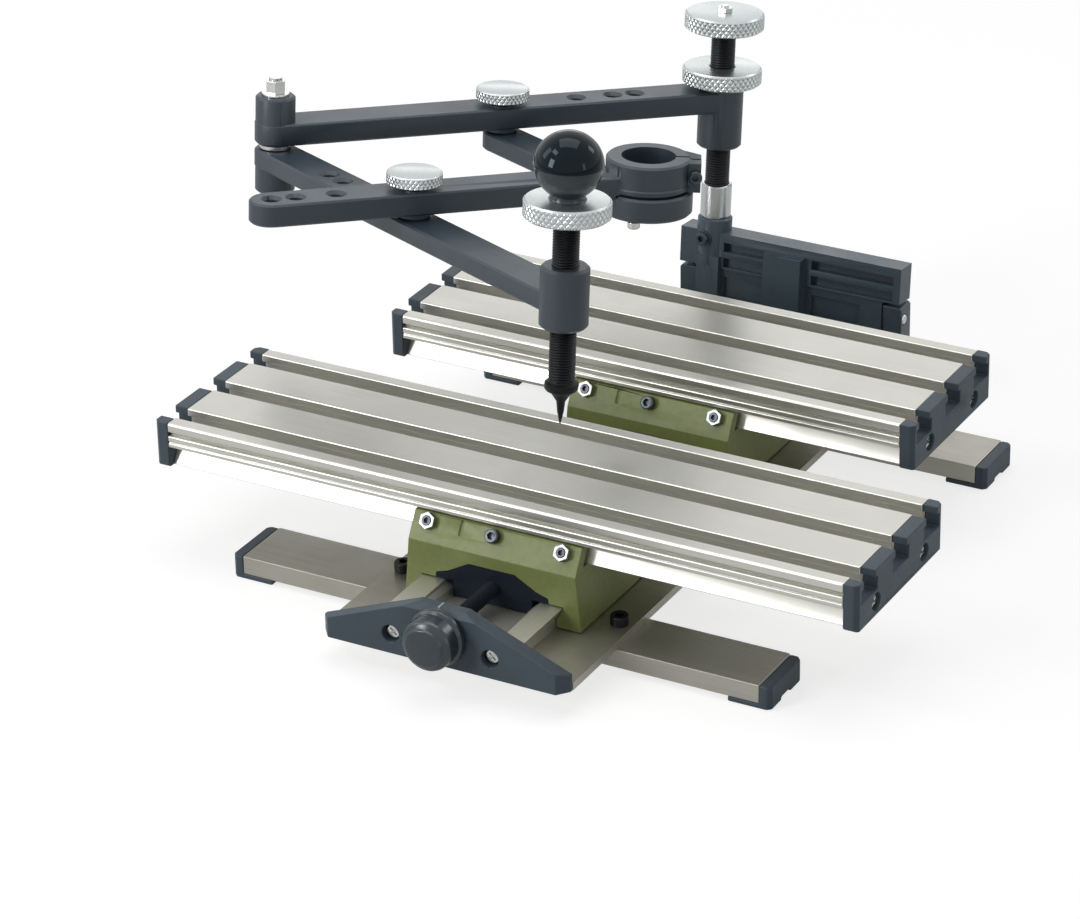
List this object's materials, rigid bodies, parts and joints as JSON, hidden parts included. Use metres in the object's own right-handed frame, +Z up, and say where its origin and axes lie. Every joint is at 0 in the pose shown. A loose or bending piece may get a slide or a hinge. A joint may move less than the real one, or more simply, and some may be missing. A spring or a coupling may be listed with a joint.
{
  "type": "engraving machine",
  "caption": "Pantograph engraver: slotted cross tables on a dovetail base, jointed copying arms on a tilting bracket, ball-handled stylus.",
  "frame": {"origin": "on the bench, below the centre of the base plate", "axes": "+X along the tables, +Y from the hand knob to the tilting bracket, +Z up"},
  "size_m": [0.3012, 0.3165, 0.1806],
  "materials": {
    "extruded_aluminium": "satin",
    "base_aluminium": "satin",
    "black_cap": "matte",
    "green_paint": "satin",
    "black_paint": "satin",
    "bright_steel": "satin",
    "black_steel": "satin",
    "gib_brass": "satin",
    "ball_plastic": "gloss"
  },
  "bodies": {
    "base": {"base_plate": "base_aluminium", "cross_rails": "base_aluminium", "rail_caps": "black_cap", "guide_rail": "base_aluminium", "plate_screws": "black_steel", "front_bar": "black_cap", "bar_screws": "bright_steel", "bracket_foot": "black_paint", "foot_screws": "black_steel", "hinge_pin": "bright_steel"},
    "feed_screw": {"feed_spindle": "black_steel", "hand_knob": "black_cap"},
    "front_saddle": {"front_saddle": "green_paint", "front_feed_nut": "black_cap", "front_gib": "gib_brass", "front_lip_nuts": "bright_steel", "front_gib_screws": "black_steel"},
    "front_lock": {"front_lock_screw": "black_steel"},
    "front_table": {"front_table": "extruded_aluminium", "front_table_caps": "black_cap", "front_cap_screws": "bright_steel"},
    "rear_saddle": {"rear_saddle": "green_paint", "rear_gib": "gib_brass", "rear_lip_nuts": "bright_steel", "rear_gib_screws": "black_steel"},
    "rear_lock": {"rear_lock_screw": "black_steel"},
    "rear_table": {"rear_table": "extruded_aluminium", "rear_table_caps": "black_cap", "rear_cap_screws": "bright_steel"},
    "leaf": {"bracket_leaf": "black_paint", "boss_clamp_screw": "black_steel", "column_sleeve": "bright_steel"},
    "column": {"column_rod": "black_steel", "column_disc": "bright_steel", "column_nut": "bright_steel"},
    "lock_ring": {"lock_disc": "bright_steel"},
    "arm_a": {"arm_a": "black_paint", "elbow_stud": "bright_steel", "elbow_washers": "bright_steel", "elbow_nut": "bright_steel", "link_spacer": "black_paint", "clamp_knob_a": "bright_steel"},
    "arm_b": {"arm_b": "black_paint"},
    "arm_c": {"arm_c": "black_paint", "ring_screw": "bright_steel"},
    "arm_d": {"arm_d": "black_paint", "arm_spacer": "black_paint", "clamp_knob_b": "bright_steel", "collar_screw": "black_steel"},
    "stylus": {"stylus_rod": "black_steel"},
    "stylus_grip": {"stylus_disc": "bright_steel", "ball_grip": "ball_plastic"}
  },
  "joints": [
    {"name": "feed_turn", "type": "hinge", "parent": "base", "child": "feed_screw", "pos_m": [0, -0.141, 0.0216], "axis": [0, 1, 0], "range_deg": [-5410, 7210]},
    {"name": "front_saddle_slide", "type": "slide", "parent": "base", "child": "front_saddle", "axis": [0, 1, 0], "range_m": [-0.015, 0.02]},
    {"name": "front_lock_turn", "type": "hinge", "parent": "front_saddle", "child": "front_lock", "pos_m": [-0.0008, -0.1002, 0.04023], "axis": [0, -0.866, 0.5], "range_deg": [0, 120]},
    {"name": "front_table_slide", "type": "slide", "parent": "front_saddle", "child": "front_table", "axis": [1, 0, 0], "range_m": [-0.06, 0.06]},
    {"name": "rear_saddle_slide", "type": "slide", "parent": "base", "child": "rear_saddle", "axis": [0, 1, 0], "range_m": [-0.015, 0.02]},
    {"name": "rear_lock_turn", "type": "hinge", "parent": "rear_saddle", "child": "rear_lock", "pos_m": [-0.0008, 0.0175, 0.04023], "axis": [0, -0.866, 0.5], "range_deg": [0, 120]},
    {"name": "rear_table_slide", "type": "slide", "parent": "rear_saddle", "child": "rear_table", "axis": [1, 0, 0], "range_m": [-0.045, 0.045]},
    {"name": "leaf_tilt", "type": "hinge", "parent": "base", "child": "leaf", "pos_m": [0, 0.138, 0.0342], "axis": [1, 0, 0], "range_deg": [0, 5], "stiffness_Nm_per_rad": 3, "springref_deg": -34.38},
    {"name": "column_turn", "type": "hinge", "parent": "leaf", "child": "column", "pos_m": [-0.0352, 0.138, 0.0342], "axis": [0, 0.0976, 0.9952], "range_deg": [-3610, 10]},
    {"name": "height_slide", "type": "slide", "parent": "leaf", "child": "lock_ring", "axis": [0, 0.0976, 0.9952], "range_m": [0, 0.01]},
    {"name": "arm_a_swing", "type": "hinge", "parent": "lock_ring", "child": "arm_a", "pos_m": [-0.0352, 0.138, 0.0342], "axis": [0, 0.0976, 0.9952], "range_deg": [-12, 12]},
    {"name": "elbow_swing", "type": "hinge", "parent": "arm_a", "child": "arm_b", "pos_m": [-0.15561, 0.00538, 0.0472], "axis": [0, 0.0976, 0.9952], "range_deg": [-12, 12]},
    {"name": "link_c_swing", "type": "hinge", "parent": "arm_a", "child": "arm_c", "pos_m": [-0.0954, 0.07169, 0.0407], "axis": [0, 0.0976, 0.9952], "range_deg": [-12.05, 12.05]},
    {"name": "link_d_swing", "type": "hinge", "parent": "arm_b", "child": "arm_d", "pos_m": [-0.07246, -0.03427, 0.05109], "axis": [0, 0.0976, 0.9952], "range_deg": [-12.05, 12.05]},
    {"name": "stylus_slide", "type": "slide", "parent": "arm_b", "child": "stylus", "axis": [0, 0.0976, 0.9952], "range_m": [-0.0015, 0.006]},
    {"name": "stylus_turn", "type": "hinge", "parent": "stylus", "child": "stylus_grip", "pos_m": [0.01069, -0.07392, 0.05498], "axis": [0, 0.0976, 0.9952], "range_deg": [-545, 2165]}
  ],
  "couplings": [
    {"joint": "feed_turn", "follows": "front_saddle_slide", "rad_per_m": 6283.2},
    {"joint": "column_turn", "follows": "height_slide", "rad_per_m": -6283.2},
    {"joint": "link_c_swing", "follows": "elbow_swing", "ratio": 1},
    {"joint": "link_d_swing", "follows": "elbow_swing", "ratio": -1},
    {"joint": "stylus_turn", "follows": "stylus_slide", "rad_per_m": 6283.2}
  ]
}
